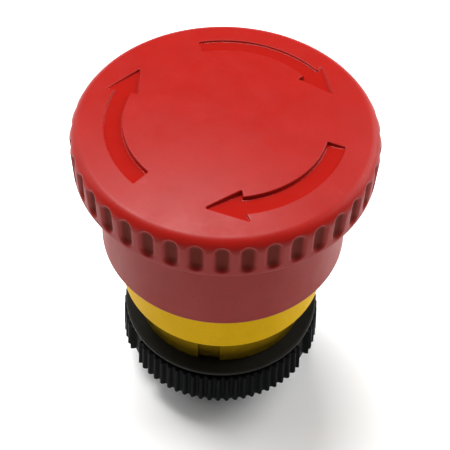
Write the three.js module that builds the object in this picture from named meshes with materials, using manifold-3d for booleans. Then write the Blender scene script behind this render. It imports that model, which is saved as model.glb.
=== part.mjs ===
// Twist-to-release emergency stop head for a 22 mm panel hole, one solid for each physical piece.
// Millimetres, +Z up the plunger's axis, z = 0 at the barrel's rear end. -Y is the front.

import * as THREE from 'three';
import { mergeVertices } from 'three/addons/utils/BufferGeometryUtils.js';
import Module from 'manifold-3d';

const wasm = await Module();
wasm.setup();

// ---- driving dimensions ----

const DEG = Math.PI / 180;
const FRONT = -90 * DEG;
const FINE = 40; // segments round the large visible pieces
const PLAIN = 24; // segments round the inner pieces
const SMALL = 12; // segments round screws, pins and holes

const BARREL = { radius: 10.9, bore: 9.1, length: 12.2, chamfer: 0.4 };
const KEYWAY = { width: 3.2, depth: 0.9, top: 11.55 };
const SOCKET_NOTCH = { width: 4, height: 2.5 }; // two notches in the barrel's rear end
const PANEL_FACE = BARREL.length; // the bezel's underside, which lies on the panel
const BEZEL = { radius: 14.5, edge: 0.2, height: 0.7, gasketRadius: 13.7, gasketDepth: 0.25 };
const BEZEL_TOP = PANEL_FACE + BEZEL.height;
const GASKET = { bore: 11.2, radius: 13.5, bottom: 11.8, top: 12.4 };
const WEB = { bottom: 13.2, top: 16, bore: 5.3 }; // wall across the housing, under the return spring
const NECK = { radius: 11, bore: 10.3, top: 30.5 };
const GUIDE = { inner: 9.3, outer: 10.8, width: 1.6, top: 27.9, notch: 2.2 }; // ribs that the stem slides on
const INDEX = -97 * DEG; // azimuth of the slot in the collar and of the barrel's keyway
const COLLAR_KEY = { inner: 10.7, outer: 11.7, width: 2, top: 16, clearance: 0.2 };

const COLLAR = { radius: 14.6, neckRadius: 12.5, bore: 11.1, mouth: 12.45, bottom: 13.1, edge: 20, top: 33 };
const COLLAR_SLOT = { width: 3.2, floor: 11.9 };
const WIPER_GROOVE = { radius: 13.85, bottom: 30.9, top: 32.1 };
const WIPER = { bore: 13.95, body: 15, lip: 15.45, bottom: 31, top: 32 };
const O_RING = { radius: 11.55, section: 0.42, height: 22.7, grooveRadius: 12.1, grooveHeight: 1.2 };

const CAP = { radius: 20, rimRadius: 19.9, rim: 43.3, shoulder: 47.5, fillet: 1.8, domeRadius: 118 };
const CAVITY = { radius: 17.6, ceiling: 47.5 }; // the hollow under the cap
const FLUTE = { count: 40, radius: 1.2, depth: 0.65, bottom: 45, top: 47.6 }; // centres of its round ends
const ARROW = { count: 3, tail: 225, sweep: 65, tip: 83.4, inner: 13.2, outer: 15.5, floor: 49.42 };
const ARROW_HEAD = { inner: 12.2, outer: 16.7, tip: 14.8, outerSweep: 1.2 }; // its outer barb leans back
const SKIRT = { radius: 16.65, mouthRadius: 17.05, bore: 15.65, bottom: 29.05 };
const SKIRT_WEB = { bottom: 43.2, top: 44.6, radius: 17.4, eye: 8.8 };
const HUB = { radius: 8.6, bore: 6.4, bottom: 41.3, flange: 44.8, flangeRadius: 12.3, top: 45.7, eye: 3.65 };
const SCREW = { circle: 10.4, head: 1.7, bottom: 42, neck: 43.1, shank: 0.8, top: 47.8 };
const SCREW_HOLE = { clearance: 0.95, pilot: 0.9, boss: 2, bossBottom: 46, bossTop: 47.9, top: 48 };

const STEM = { radius: 5, guide: 3.9, tip: 3.5, bottom: 13, flange: 26.5, step: 39.8, top: 47.1 };
const STEM_FLANGE = { radius: 9.7, thickness: 1.2 };
const CLIP_GROOVE = { radius: 3.1, bottom: 45.8, top: 46.6 };
const CLIP = { inner: 3.2, outer: 5.4, gap: 70 * DEG, bottom: 45.9, top: 46.5 };
const THRUST_WASHER = { bore: 3.6, radius: 6.2, bottom: 39.9, top: 41.1 };
const CARRIER = { radius: 6.3, bottom: 8.2, top: 12.8, bore: 1.75, holeStart: 2.4 };
const CARRIER_SCREW = { head: 2.7, bottom: 6.6, neck: 8, shank: 1.6, top: 17.4, socket: 1.3, hole: 1.7 };
const PUSHER = { bore: 3.1, radius: 6, bottom: 5.8, top: 8 };
const LATCH = { height: 10.9, pinRadius: 1.1, pinTip: 7, pinLength: 2.9 };
const LATCH_RING = { radius: 9, bottom: 6.4, top: 12.95, throat: 7.15, throatHeight: 12, slope: 0.2 };
const SNAP_RING = { inner: 8.3, outer: 9.5, gap: 40 * DEG, bottom: 5.55, top: 6.15 };
const SNAP_GROOVE = { radius: 9.65, bottom: 5.45, top: 6.25 };
const BUSH = { bore: 4.05, plug: 10.15, flange: 12.2, bottom: 27.95, shoulder: 30.6, top: 31.2 };
const BOOT = { foot: 9.4, footBore: 7.6, lip: 5, lipBore: 4.05, bottom: 31.35, top: 39.5, wall: 0.85 };
const BOOT_FOLDS = [[8.6, 32.1], [6, 33.3], [8.2, 34.5], [5.7, 35.7], [7.8, 36.9], [5.3, 38.1]];

const RETURN_SPRING = { radius: 7.4, wire: 0.45, bottom: 16.1, top: 26.4, turns: 5 };
const TWIST_SPRING = { radius: 5.2, wire: 0.35, bottom: 41.25, top: 44.4, turns: 3 };
const LATCH_SPRING = { radius: 0.8, wire: 0.14, start: 2.5, end: 4, turns: 3 };

const NUT = { bottom: 5.8, top: 11.4, rearRadius: 15.1, frontRadius: 14.8, bore: 11.1 };
const KNURL = { teeth: 72, depth: 0.45, slots: 3, slotWidth: 11 * DEG, slotDepth: 0.8 };
const WASHER = { bottom: 10.5, thickness: 0.8, radius: 13.2, bore: 11.15, tab: 10.15, recess: 13.5 };

const OVERCUT = 1; // how far a cutter passes the surface it cuts through

// ---- materials ----

function material(color, roughness, metalness = 0) {
  return new THREE.MeshStandardMaterial({ color, roughness, metalness });
}

const RED = [0xc8372f, 0.45];
const YELLOW = [0xd9a900, 0.4];
const BLACK = [0x17181a, 0.5];
const RUBBER = [0x1c1c1c, 0.85];
const NATURAL = [0xd8d3c4, 0.55];
const STEEL = [0xb9bcc0, 0.3, 1];
const BRASS = [0xb8954a, 0.35, 1];
const ZINC = [0x9a9da1, 0.45, 1];

// ---- geometry helpers ----

/** A body turned about Z from [radius, height] corners, listed upwards along the outside. */
function turned(corners, segments = PLAIN) {
  const points = corners.map(([radius, height]) => new THREE.Vector2(radius, height));
  const onAxis = corners[0][0] === 0;
  if (!onAxis) points.push(points[0].clone());
  return new THREE.LatheGeometry(points, segments).rotateX(Math.PI / 2);
}

/** A round bar from one height to another. */
function bar(radius, bottom, top, segments = SMALL) {
  return turned([[0, bottom], [radius, bottom], [radius, top], [0, top]], segments);
}

/** A flat shape given a thickness along Z. */
function plate(shape, bottom, top, curveSegments = 12) {
  const depth = top - bottom;
  const geometry = new THREE.ExtrudeGeometry(shape, { depth, bevelEnabled: false, curveSegments });
  return geometry.translate(0, 0, bottom);
}

/** A block at an azimuth, between two radii and two heights. */
function block(azimuth, inner, outer, width, bottom, top) {
  const geometry = new THREE.BoxGeometry(outer - inner, width, top - bottom);
  return geometry.translate((inner + outer) / 2, 0, (bottom + top) / 2).rotateZ(azimuth);
}

/** The geometry moved out from the axis and then turned to an azimuth. */
function atAzimuth(geometry, radius, azimuth) {
  return geometry.translate(radius, 0, 0).rotateZ(azimuth);
}

/** The manifold solid of a closed geometry. */
function toSolid(geometry) {
  const bare = geometry.clone();
  bare.deleteAttribute('normal');
  bare.deleteAttribute('uv');
  const merged = mergeVertices(bare, 1e-4);
  const corners = [];
  const index = merged.index.array;
  for (let i = 0; i < index.length; i += 3) {
    const [a, b, c] = [index[i], index[i + 1], index[i + 2]];
    if (a !== b && b !== c && c !== a) corners.push(a, b, c);
  }
  const vertProperties = merged.attributes.position.array;
  const triVerts = new Uint32Array(corners);
  return new wasm.Manifold(new wasm.Mesh({ numProp: 3, vertProperties, triVerts }));
}

function toGeometry(solid) {
  const { vertProperties, triVerts } = solid.getMesh();
  const geometry = new THREE.BufferGeometry();
  geometry.setAttribute('position', new THREE.BufferAttribute(vertProperties, 3));
  geometry.setIndex(new THREE.BufferAttribute(triVerts, 1));
  geometry.computeVertexNormals();
  return geometry;
}

/** The body geometry with others joined to it and others cut from it. */
function shaped(body, { add = [], cut = [] }) {
  let solid = toSolid(body);
  for (const geometry of add) solid = solid.add(toSolid(geometry));
  for (const geometry of cut) solid = solid.subtract(toSolid(geometry));
  return toGeometry(solid);
}

class Helix extends THREE.Curve {
  constructor(radius, bottom, top, turns) {
    super();
    Object.assign(this, { radius, bottom, top, turns });
  }

  getPoint(t) {
    const angle = 2 * Math.PI * this.turns * t;
    const height = this.bottom + (this.top - this.bottom) * t;
    return new THREE.Vector3(this.radius * Math.cos(angle), this.radius * Math.sin(angle), height);
  }
}

/** A wire coil that fills the height between bottom and top. */
function coil(radius, wire, bottom, top, turns, sides = 5) {
  const section = new THREE.Shape();
  for (let i = 0; i < sides; i += 1) {
    const angle = (2 * Math.PI * i) / sides;
    const [x, y] = [wire * Math.cos(angle), wire * Math.sin(angle)];
    if (i === 0) section.moveTo(x, y);
    else section.lineTo(x, y);
  }
  const extrudePath = new Helix(radius, bottom + wire, top - wire, turns);
  return new THREE.ExtrudeGeometry(section, { extrudePath, steps: 10 * turns });
}

/** A flat ring with a gap in it, centred on +X. */
function openRing({ inner, outer, gap, bottom, top }) {
  const shape = new THREE.Shape();
  shape.absarc(0, 0, outer, gap / 2, 2 * Math.PI - gap / 2, false);
  shape.absarc(0, 0, inner, 2 * Math.PI - gap / 2, gap / 2, true);
  return plate(shape, bottom, top);
}

// ---- head: what turns with the cap ----

function domeHeight(radius) {
  const crown = CAP.shoulder + CAP.fillet + (CAP.radius - CAP.fillet) ** 2 / (2 * CAP.domeRadius);
  return crown - radius ** 2 / (2 * CAP.domeRadius);
}

/** The cap's section: cavity, drafted rim, rounded edge and shallow dome. */
function capCorners() {
  const corners = [[0, CAVITY.ceiling], [CAVITY.radius, CAVITY.ceiling], [CAVITY.radius, CAP.rim]];
  corners.push([CAP.rimRadius, CAP.rim], [CAP.radius, CAP.shoulder]);
  const centre = CAP.radius - CAP.fillet;
  for (const angle of [30, 60, 83].map((degrees) => degrees * DEG)) {
    const radius = centre + CAP.fillet * Math.cos(angle);
    corners.push([radius, CAP.shoulder + CAP.fillet * Math.sin(angle)]);
  }
  for (const radius of [12, 6, 0]) corners.push([radius, domeHeight(radius)]);
  return corners;
}

/** A cutter with two round ends for a finger flute, which stays closed above the rim's lower edge. */
function fluteCutter(azimuth) {
  const { radius, depth, bottom, top } = FLUTE;
  const endArc = 45 * DEG;
  const [x, y] = [radius * Math.cos(endArc), radius * Math.sin(endArc)];
  const lower = [[0, bottom - radius], [x, bottom - y], [radius, bottom]];
  const upper = [[radius, top], [x, top + y], [0, top + radius]];
  const cutter = turned([...lower, ...upper], 10);
  return atAzimuth(cutter, CAP.radius - depth + radius, azimuth);
}

function arrowCutter(turn) {
  const start = ARROW.tail * DEG - turn;
  const neck = start - ARROW.sweep * DEG;
  const tip = start - ARROW.tip * DEG;
  const at = (radius, angle) => [radius * Math.cos(angle), radius * Math.sin(angle)];
  const shape = new THREE.Shape();
  shape.absarc(0, 0, ARROW.outer, start, neck, true);
  shape.lineTo(...at(ARROW_HEAD.outer, neck + ARROW_HEAD.outerSweep * DEG));
  shape.lineTo(...at(ARROW_HEAD.tip, tip));
  shape.lineTo(...at(ARROW_HEAD.inner, neck));
  shape.absarc(0, 0, ARROW.inner, neck, start, false);
  return plate(shape, ARROW.floor, ARROW.floor + 2 * OVERCUT, 6);
}

/** Three bars on the circle of the cap's screws: their holes or their bosses. */
function screwBars(radius, bottom, top) {
  return [0, 1, 2].map((i) => atAzimuth(bar(radius, bottom, top), SCREW.circle, i * 120 * DEG));
}

function cap() {
  const { pilot, boss, bossBottom, bossTop, top } = SCREW_HOLE;
  const cut = screwBars(pilot, bossBottom - OVERCUT, top);
  for (let i = 0; i < FLUTE.count; i += 1) cut.push(fluteCutter(FRONT + (i * 360 * DEG) / FLUTE.count));
  for (let i = 0; i < ARROW.count; i += 1) cut.push(arrowCutter((i * 360 * DEG) / ARROW.count));
  const crestTurn = (180 * DEG) / FLUTE.count; // puts the section's corners on the crests
  const body = turned(capCorners(), FLUTE.count).rotateZ(crestTurn);
  return shaped(body, { add: screwBars(boss, bossBottom, bossTop), cut });
}

function skirt() {
  const { radius, mouthRadius, bore, bottom } = SKIRT;
  const web = SKIRT_WEB;
  const sleeve = [[bore, bottom], [mouthRadius, bottom], [radius, web.bottom]];
  const disc = [[web.radius, web.bottom], [web.radius, web.top], [web.eye, web.top], [web.eye, web.bottom]];
  const cut = screwBars(SCREW_HOLE.clearance, web.bottom - OVERCUT, web.top + OVERCUT);
  return shaped(turned([...sleeve, ...disc, [bore, web.bottom]], FINE), { cut });
}

function camHub() {
  const { radius, bore, bottom, flange, flangeRadius, top, eye } = HUB;
  const ceiling = flange - 0.2;
  const sleeve = [[eye, ceiling], [bore, ceiling], [bore, bottom], [radius, bottom], [radius, flange]];
  const disc = [[flangeRadius, flange], [flangeRadius, top], [eye, top]];
  const cut = screwBars(SCREW_HOLE.clearance, flange - OVERCUT, top + OVERCUT);
  return shaped(turned([...sleeve, ...disc]), { cut });
}

function capScrew() {
  const { head, bottom, neck, shank, top } = SCREW;
  const headCorners = [[0, bottom], [head - 0.2, bottom], [head, bottom + 0.3], [head, neck]];
  return turned([...headCorners, [shank, neck], [shank, top - 0.4], [0, top]], SMALL);
}

// ---- plunger: what slides when the cap is pushed ----

function stem() {
  const { radius, guide, tip, bottom, flange, step, top } = STEM;
  const flangeTop = flange + STEM_FLANGE.thickness;
  const lower = [[0, bottom], [radius, bottom], [radius, flange]];
  const disc = [[STEM_FLANGE.radius, flange], [STEM_FLANGE.radius, flangeTop], [guide, flangeTop]];
  const groove = [[tip, CLIP_GROOVE.bottom], [CLIP_GROOVE.radius, CLIP_GROOVE.bottom]];
  groove.push([CLIP_GROOVE.radius, CLIP_GROOVE.top], [tip, CLIP_GROOVE.top]);
  const upper = [[guide, step], [tip, step], ...groove, [tip, top - 0.3], [tip - 0.3, top], [0, top]];
  const cut = [90, -90].map((azimuth) => (
    block(azimuth * DEG, GUIDE.inner - 0.3, STEM_FLANGE.radius + 1, GUIDE.notch, flange - 1, flangeTop + 1)
  ));
  cut.push(bar(CARRIER_SCREW.hole, bottom - OVERCUT, CARRIER_SCREW.top + 0.2));
  return shaped(turned([...lower, ...disc, ...upper]), { cut });
}

function latchCarrier() {
  const { radius, bottom, top, bore, holeStart } = CARRIER;
  const rim = [[radius - 0.4, bottom], [radius, bottom + 0.4], [radius, top]];
  const cut = [0, 180].map((azimuth) => {
    const hole = bar(LATCH.pinRadius + 0.1, holeStart, radius + OVERCUT).rotateY(Math.PI / 2);
    return hole.translate(0, 0, LATCH.height).rotateZ(azimuth * DEG);
  });
  return shaped(turned([[bore, bottom], ...rim, [bore, top]]), { cut });
}

/** A screw with a hexagon socket. */
function carrierScrew() {
  const { head, bottom, neck, shank, top, socket } = CARRIER_SCREW;
  const headCorners = [[0, bottom], [head - 0.3, bottom], [head, bottom + 0.3], [head, neck]];
  const shankCorners = [[shank, neck], [shank, top - 0.4], [shank - 0.4, top], [0, top]];
  const body = turned([...headCorners, ...shankCorners], SMALL);
  return shaped(body, { cut: [bar(socket, bottom - OVERCUT, neck - 0.2, 6)] });
}

function pusherRing() {
  const { bore, radius, bottom, top } = PUSHER;
  return turned([[bore, bottom], [radius - 0.4, bottom], [radius, bottom + 0.4], [radius, top], [bore, top]]);
}

function thrustWasher() {
  const { bore, radius, bottom, top } = THRUST_WASHER;
  return turned([[bore, bottom], [radius, bottom], [radius, top], [bore, top]]);
}

function latchPin(azimuth) {
  const { pinRadius, pinTip, pinLength, height } = LATCH;
  const tip = [[pinRadius, pinLength - 0.5], [pinRadius - 0.4, pinLength], [0, pinLength]];
  const pin = turned([[0, 0], [pinRadius, 0], ...tip], SMALL).rotateY(Math.PI / 2);
  return pin.translate(pinTip - pinLength, 0, height).rotateZ(azimuth);
}

function latchSpring(azimuth) {
  const { radius, wire, start, end, turns } = LATCH_SPRING;
  const spring = coil(radius, wire, start, end, turns, 4).rotateY(Math.PI / 2);
  return spring.translate(0, 0, LATCH.height).rotateZ(azimuth);
}

function springCoil({ radius, wire, bottom, top, turns }) {
  return coil(radius, wire, bottom, top, turns);
}

// ---- base: what stays with the panel ----

function housingBody() {
  const { radius, bore, chamfer } = BARREL;
  const { gasketRadius, gasketDepth, edge } = BEZEL;
  const recess = PANEL_FACE + gasketDepth;
  const barrel = [[bore, 0], [radius - chamfer, 0], [radius, chamfer], [radius, recess]];
  const underside = [[gasketRadius, recess], [gasketRadius, PANEL_FACE], [BEZEL.radius, PANEL_FACE]];
  const bezel = [[BEZEL.radius, BEZEL_TOP - edge], [BEZEL.radius - edge, BEZEL_TOP]];
  const neck = [[NECK.radius, BEZEL_TOP], [NECK.radius, NECK.top], [NECK.bore, NECK.top]];
  const web = [[NECK.bore, WEB.top], [WEB.bore, WEB.top], [WEB.bore, WEB.bottom], [bore, WEB.bottom]];
  return turned([...barrel, ...underside, ...bezel, ...neck, ...web], FINE);
}

function housing() {
  const { inner, outer, width, top } = GUIDE;
  const add = [90, -90].map((azimuth) => block(azimuth * DEG, inner, outer, width, WEB.top - 0.5, top));
  const key = COLLAR_KEY;
  add.push(block(INDEX + Math.PI, key.inner, key.outer, key.width, BEZEL_TOP - 0.2, key.top));
  const groove = [[BARREL.bore - 1, SNAP_GROOVE.bottom], [SNAP_GROOVE.radius, SNAP_GROOVE.bottom]];
  groove.push([SNAP_GROOVE.radius, SNAP_GROOVE.top], [BARREL.bore - 1, SNAP_GROOVE.top]);
  const keyFloor = BARREL.radius - KEYWAY.depth;
  const cut = [turned(groove), block(INDEX, keyFloor, BARREL.radius + 1, KEYWAY.width, -OVERCUT, KEYWAY.top)];
  for (const azimuth of [0, Math.PI]) {
    cut.push(block(azimuth, BARREL.bore - 1, 12, SOCKET_NOTCH.width, -OVERCUT, SOCKET_NOTCH.height));
  }
  return shaped(housingBody(), { add, cut });
}

/** The bright band, its narrower neck with a slot in front, and the groove for the wiper. */
function yellowCollar() {
  const { radius, neckRadius, bore, mouth, bottom, edge, top } = COLLAR;
  const neck = [[bore, bottom], [neckRadius, bottom], [neckRadius, edge], [radius, edge]];
  const groove = [[radius, WIPER_GROOVE.bottom], [WIPER_GROOVE.radius, WIPER_GROOVE.bottom]];
  groove.push([WIPER_GROOVE.radius, WIPER_GROOVE.top], [radius, WIPER_GROOVE.top]);
  const rim = [[radius, top - 0.3], [radius - 0.3, top], [mouth, top]];
  const seat = [[mouth, NECK.top], [bore, NECK.top]]; // the bush's flange lies over it
  const { height, grooveRadius, grooveHeight } = O_RING;
  const slot = block(INDEX, COLLAR_SLOT.floor, radius + 1, COLLAR_SLOT.width, bottom - OVERCUT, edge - 0.1);
  const keyWidth = COLLAR_KEY.width + 2 * COLLAR_KEY.clearance;
  const keyTop = COLLAR_KEY.top + COLLAR_KEY.clearance;
  const keyOuter = COLLAR_KEY.outer + COLLAR_KEY.clearance;
  const keySlot = block(INDEX + Math.PI, COLLAR_KEY.inner, keyOuter, keyWidth, bottom - OVERCUT, keyTop);
  const ringGroove = turned([
    [bore - 1, height - grooveHeight / 2],
    [grooveRadius, height - grooveHeight / 2],
    [grooveRadius, height + grooveHeight / 2],
    [bore - 1, height + grooveHeight / 2],
  ], FINE);
  return shaped(turned([...neck, ...groove, ...rim, ...seat], FINE), { cut: [slot, keySlot, ringGroove] });
}

function panelGasket() {
  const { bore, radius, bottom, top } = GASKET;
  return turned([[bore, bottom], [radius, bottom], [radius, top], [bore, top]]);
}

function collarRing() {
  const { radius, section, height } = O_RING;
  const corners = [];
  for (let i = 0; i < 8; i += 1) {
    const angle = (i * 45 - 90) * DEG;
    corners.push([radius + section * Math.cos(angle), height + section * Math.sin(angle)]);
  }
  return turned(corners);
}

/** A wiper with a short lip that points at the skirt. */
function dustSeal() {
  const { bore, body, lip, bottom, top } = WIPER;
  const outside = [[body, bottom], [lip, bottom + 0.3], [lip, bottom + 0.6], [body - 0.1, top]];
  return turned([[bore, bottom], ...outside, [bore, top]], FINE);
}

function guideBush() {
  const { bore, plug, flange, bottom, shoulder, top } = BUSH;
  const rim = [[flange, shoulder], [flange, top]];
  return turned([[bore, bottom], [plug, bottom], [plug, shoulder], ...rim, [bore, top]]);
}

/** Bellows: three folds between a foot on the bush and a lip round the stem. */
function sealBoot() {
  const { foot, footBore, lip, lipBore, bottom, top, wall } = BOOT;
  const outside = [[foot, bottom], [foot, bottom + 0.75], ...BOOT_FOLDS, [lip, top]];
  const inside = BOOT_FOLDS.map(([radius, height]) => [radius - wall, height - 0.15]).reverse();
  return turned([[footBore, bottom], ...outside, [lipBore, top], [lipBore, top - 0.9], ...inside]);
}

/** A ring whose bore narrows upwards, so that the pins stand out as the plunger goes down. */
function latchRing() {
  const { radius, bottom, top, throat, throatHeight, slope } = LATCH_RING;
  const bore = (height) => throat + slope * (throatHeight - height);
  return turned([[bore(bottom), bottom], [radius, bottom], [radius, top], [bore(top), top]]);
}

// ---- fastening behind the panel ----

/** The washer's ring with a tab that rides in the barrel's keyway. */
function keyedWasher() {
  const { radius, bore, bottom, thickness, tab } = WASHER;
  const half = Math.asin((KEYWAY.width - 0.3) / 2 / bore);
  const side = bore * Math.sin(half);
  const shape = new THREE.Shape();
  shape.absarc(0, 0, radius, 0, 2 * Math.PI, false);
  const hole = new THREE.Path();
  hole.absarc(0, 0, bore, half, 2 * Math.PI - half, false);
  hole.lineTo(tab, -side);
  hole.lineTo(tab, side);
  shape.holes.push(hole);
  return plate(shape, bottom, bottom + thickness, 20).rotateZ(INDEX);
}

/** The nut's outline at its rear face: fine teeth, broken by spanner slots, one of them at the back. */
function nutOutline() {
  const { teeth, depth, slots, slotWidth, slotDepth } = KNURL;
  const outline = new THREE.Shape();
  const steps = teeth * 2;
  for (let i = 0; i < steps; i += 1) {
    const angle = (2 * Math.PI * i) / steps;
    const fromSlot = Math.abs((angle % ((2 * Math.PI) / slots)) - 90 * DEG);
    const drop = fromSlot < slotWidth / 2 ? slotDepth : (i % 2) * depth;
    const radius = NUT.rearRadius - drop;
    const [x, y] = [radius * Math.cos(angle), radius * Math.sin(angle)];
    if (i === 0) outline.moveTo(x, y);
    else outline.lineTo(x, y);
  }
  return outline;
}

function ringNut() {
  const { bottom, top, rearRadius, frontRadius, bore } = NUT;
  const body = plate(nutOutline(), bottom, top);
  const position = body.getAttribute('position');
  for (let i = 0; i < position.count; i += 1) {
    const rise = (position.getZ(i) - bottom) / (top - bottom);
    const scale = 1 + rise * (frontRadius / rearRadius - 1);
    position.setXY(i, position.getX(i) * scale, position.getY(i) * scale);
  }
  const thread = bar(bore, bottom - OVERCUT, top + OVERCUT, FINE);
  const recess = bar(WASHER.recess, WASHER.bottom - 0.15, top + OVERCUT, FINE);
  return shaped(body, { cut: [thread, recess] });
}

// ---- assembly ----

const assembly = new THREE.Group();

function place(name, geometry, look) {
  const mesh = new THREE.Mesh(geometry, material(...look));
  mesh.name = name;
  assembly.add(mesh);
}

place('housing', housing(), BLACK);
place('yellow_collar', yellowCollar(), YELLOW);
place('panel_gasket', panelGasket(), RUBBER);
place('collar_o_ring', collarRing(), RUBBER);
place('dust_seal', dustSeal(), RUBBER);
place('guide_bush', guideBush(), NATURAL);
place('latch_ring', latchRing(), BRASS);
place('latch_snap_ring', openRing(SNAP_RING), STEEL);
place('return_spring', springCoil(RETURN_SPRING), STEEL);
place('seal_boot', sealBoot(), RUBBER);

place('stem', stem(), BLACK);
place('latch_carrier', latchCarrier(), ZINC);
place('carrier_screw', carrierScrew(), STEEL);
place('pusher_ring', pusherRing(), NATURAL);
place('thrust_washer', thrustWasher(), BRASS);
place('retaining_clip', openRing(CLIP), STEEL);
place('twist_spring', springCoil(TWIST_SPRING), STEEL);
place('latch_spring_right', latchSpring(0), STEEL);
place('latch_spring_left', latchSpring(Math.PI), STEEL);
place('latch_pin_right', latchPin(0), STEEL);
place('latch_pin_left', latchPin(Math.PI), STEEL);

place('cap', cap(), RED);
place('skirt', skirt(), RED);
place('cam_hub', camHub(), NATURAL);
for (let i = 0; i < 3; i += 1) {
  place(`cap_screw_${i + 1}`, atAzimuth(capScrew(), SCREW.circle, i * 120 * DEG), STEEL);
}

place('keyed_washer', keyedWasher(), ZINC);
place('ring_nut', ringNut(), BLACK);

export default assembly;
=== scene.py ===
"""Looks of the twist-to-release emergency stop head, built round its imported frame.

Sections are in millimetres as (radius, height, fillet) corners and become metres in new_object().
"""
import math

import bmesh
import bpy
import numpy as np
from mathutils import Matrix, Vector
from mathutils.geometry import delaunay_2d_cdt


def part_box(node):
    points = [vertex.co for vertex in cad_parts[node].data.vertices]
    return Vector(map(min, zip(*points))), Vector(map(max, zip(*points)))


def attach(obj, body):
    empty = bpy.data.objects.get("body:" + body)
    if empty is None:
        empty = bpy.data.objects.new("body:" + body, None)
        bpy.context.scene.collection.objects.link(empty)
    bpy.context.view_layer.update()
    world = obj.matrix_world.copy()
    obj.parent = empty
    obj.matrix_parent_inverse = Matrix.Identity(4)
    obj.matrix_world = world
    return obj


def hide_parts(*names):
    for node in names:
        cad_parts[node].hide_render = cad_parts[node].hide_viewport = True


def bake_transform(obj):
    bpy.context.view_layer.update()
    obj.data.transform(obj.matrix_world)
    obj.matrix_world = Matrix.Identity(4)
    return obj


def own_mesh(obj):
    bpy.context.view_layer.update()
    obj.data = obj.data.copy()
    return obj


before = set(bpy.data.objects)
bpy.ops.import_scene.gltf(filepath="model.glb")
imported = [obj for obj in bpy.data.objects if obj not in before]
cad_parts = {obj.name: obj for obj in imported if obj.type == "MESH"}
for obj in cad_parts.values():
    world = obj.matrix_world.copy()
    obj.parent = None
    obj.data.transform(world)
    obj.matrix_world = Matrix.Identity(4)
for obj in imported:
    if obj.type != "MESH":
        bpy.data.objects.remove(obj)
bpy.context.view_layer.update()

MM = 0.001
FRONT = math.radians(-90)
THIRD = math.radians(120)
INDEX = math.radians(-97)  # azimuth of the key in the collar and of the barrel's keyway
SUPPORT = 0.1  # how far from a fillet the extra ring that keeps the flat beside it flat lies


def low(node):
    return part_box(node)[0][2] / MM


def high(node):
    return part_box(node)[1][2] / MM


# ---- camera ----

def add_camera():
    """From the front and about 50 degrees above the horizon, through a long lens, rolled a little."""
    data = bpy.data.cameras.new("camera")
    data.lens = 86
    data.clip_start = 0.01
    camera = bpy.data.objects.new("camera", data)
    bpy.context.scene.collection.objects.link(camera)
    place = Vector((0, -0.0972, 0.1463))
    aim = Vector((0.00027, 0, 0.029))
    roll = Matrix.Rotation(math.radians(1.82), 3, "Z")
    look = (aim - place).to_track_quat("-Z", "Y").to_matrix()
    camera.matrix_world = Matrix.Translation(place) @ (look @ roll).to_4x4()
    bpy.context.scene.camera = camera


add_camera()


# ---- mesh tools ----

def rounded(corners, closed=True, steps=4):
    """The points of a section whose corners carry fillets, with a support point on each long side."""
    points = []
    count = len(corners)
    for i, corner in enumerate(corners):
        here = Vector(corner[:2])
        fillet = corner[2] if len(corner) > 2 else 0
        if not fillet or (not closed and i in (0, count - 1)):
            points.append(here)
            continue
        back = Vector(corners[i - 1][:2]) - here
        ahead = Vector(corners[(i + 1) % count][:2]) - here
        half = back.angle(ahead) / 2
        run = min(fillet / math.tan(half), 0.49 * back.length, 0.49 * ahead.length)
        fillet = run * math.tan(half)
        back_unit, ahead_unit = back.normalized(), ahead.normalized()
        centre = here + (back_unit + ahead_unit).normalized() * (fillet / math.sin(half))
        first, last = here + back_unit * run, here + ahead_unit * run
        if back.length - run > 3 * SUPPORT:
            points.append(first + back_unit * SUPPORT)
        for k in range(steps + 1):
            spoke = (first - centre).lerp(last - centre, k / steps)
            points.append(centre + spoke.normalized() * fillet)
        if ahead.length - run > 3 * SUPPORT:
            points.append(last + ahead_unit * SUPPORT)
    return [(p.x, p.y) for p in points]


def lathe(section, columns, closed=True, shape=None):
    """(vertices, faces) of a section turned about Z. shape(angle, radius, height) gives another radius."""
    section = np.array(section, float)
    rows = len(section)
    angle = FRONT + 2 * math.pi * np.arange(columns)[:, None] / columns
    radius = np.broadcast_to(section[:, 0], (columns, rows))
    height = np.broadcast_to(section[:, 1], (columns, rows))
    if shape:
        radius = shape(np.broadcast_to(angle, radius.shape), radius, height)
    verts = np.stack([radius * np.cos(angle), radius * np.sin(angle), height], axis=2).reshape(-1, 3)
    faces = []
    spans = rows if closed else rows - 1
    for k in range(columns):
        here, there = k * rows, ((k + 1) % columns) * rows
        for i in range(spans):
            j = (i + 1) % rows
            faces.append((here + i, there + i, there + j, here + j))
    return verts.tolist(), faces


def joined(*shells):
    """Several (vertices, faces) as one."""
    verts, faces = [], []
    for shell_verts, shell_faces in shells:
        start = len(verts)
        verts += [tuple(v) for v in shell_verts]
        faces += [tuple(start + i for i in face) for face in shell_faces]
    return verts, faces


def moved(shell, matrix):
    return [tuple(matrix @ Vector(v)) for v in shell[0]], shell[1]


def new_object(name, shell, sharp=38):
    """A smooth-shaded mesh object from a shell in millimetres, with double points merged."""
    mesh = bpy.data.meshes.new(name)
    mesh.from_pydata([tuple(c * MM for c in v) for v in shell[0]], [], shell[1])
    tidy_mesh(mesh)
    mesh.shade_smooth()
    mesh.set_sharp_from_angle(angle=math.radians(sharp))
    obj = bpy.data.objects.new(name, mesh)
    bpy.context.scene.collection.objects.link(obj)
    return obj


def tidy_mesh(mesh):
    bm = bmesh.new()
    bm.from_mesh(mesh)
    bmesh.ops.remove_doubles(bm, verts=bm.verts, dist=1e-7)
    bmesh.ops.dissolve_degenerate(bm, edges=bm.edges, dist=1e-8)
    bmesh.ops.recalc_face_normals(bm, faces=bm.faces)
    bm.to_mesh(mesh)
    bm.free()


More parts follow.
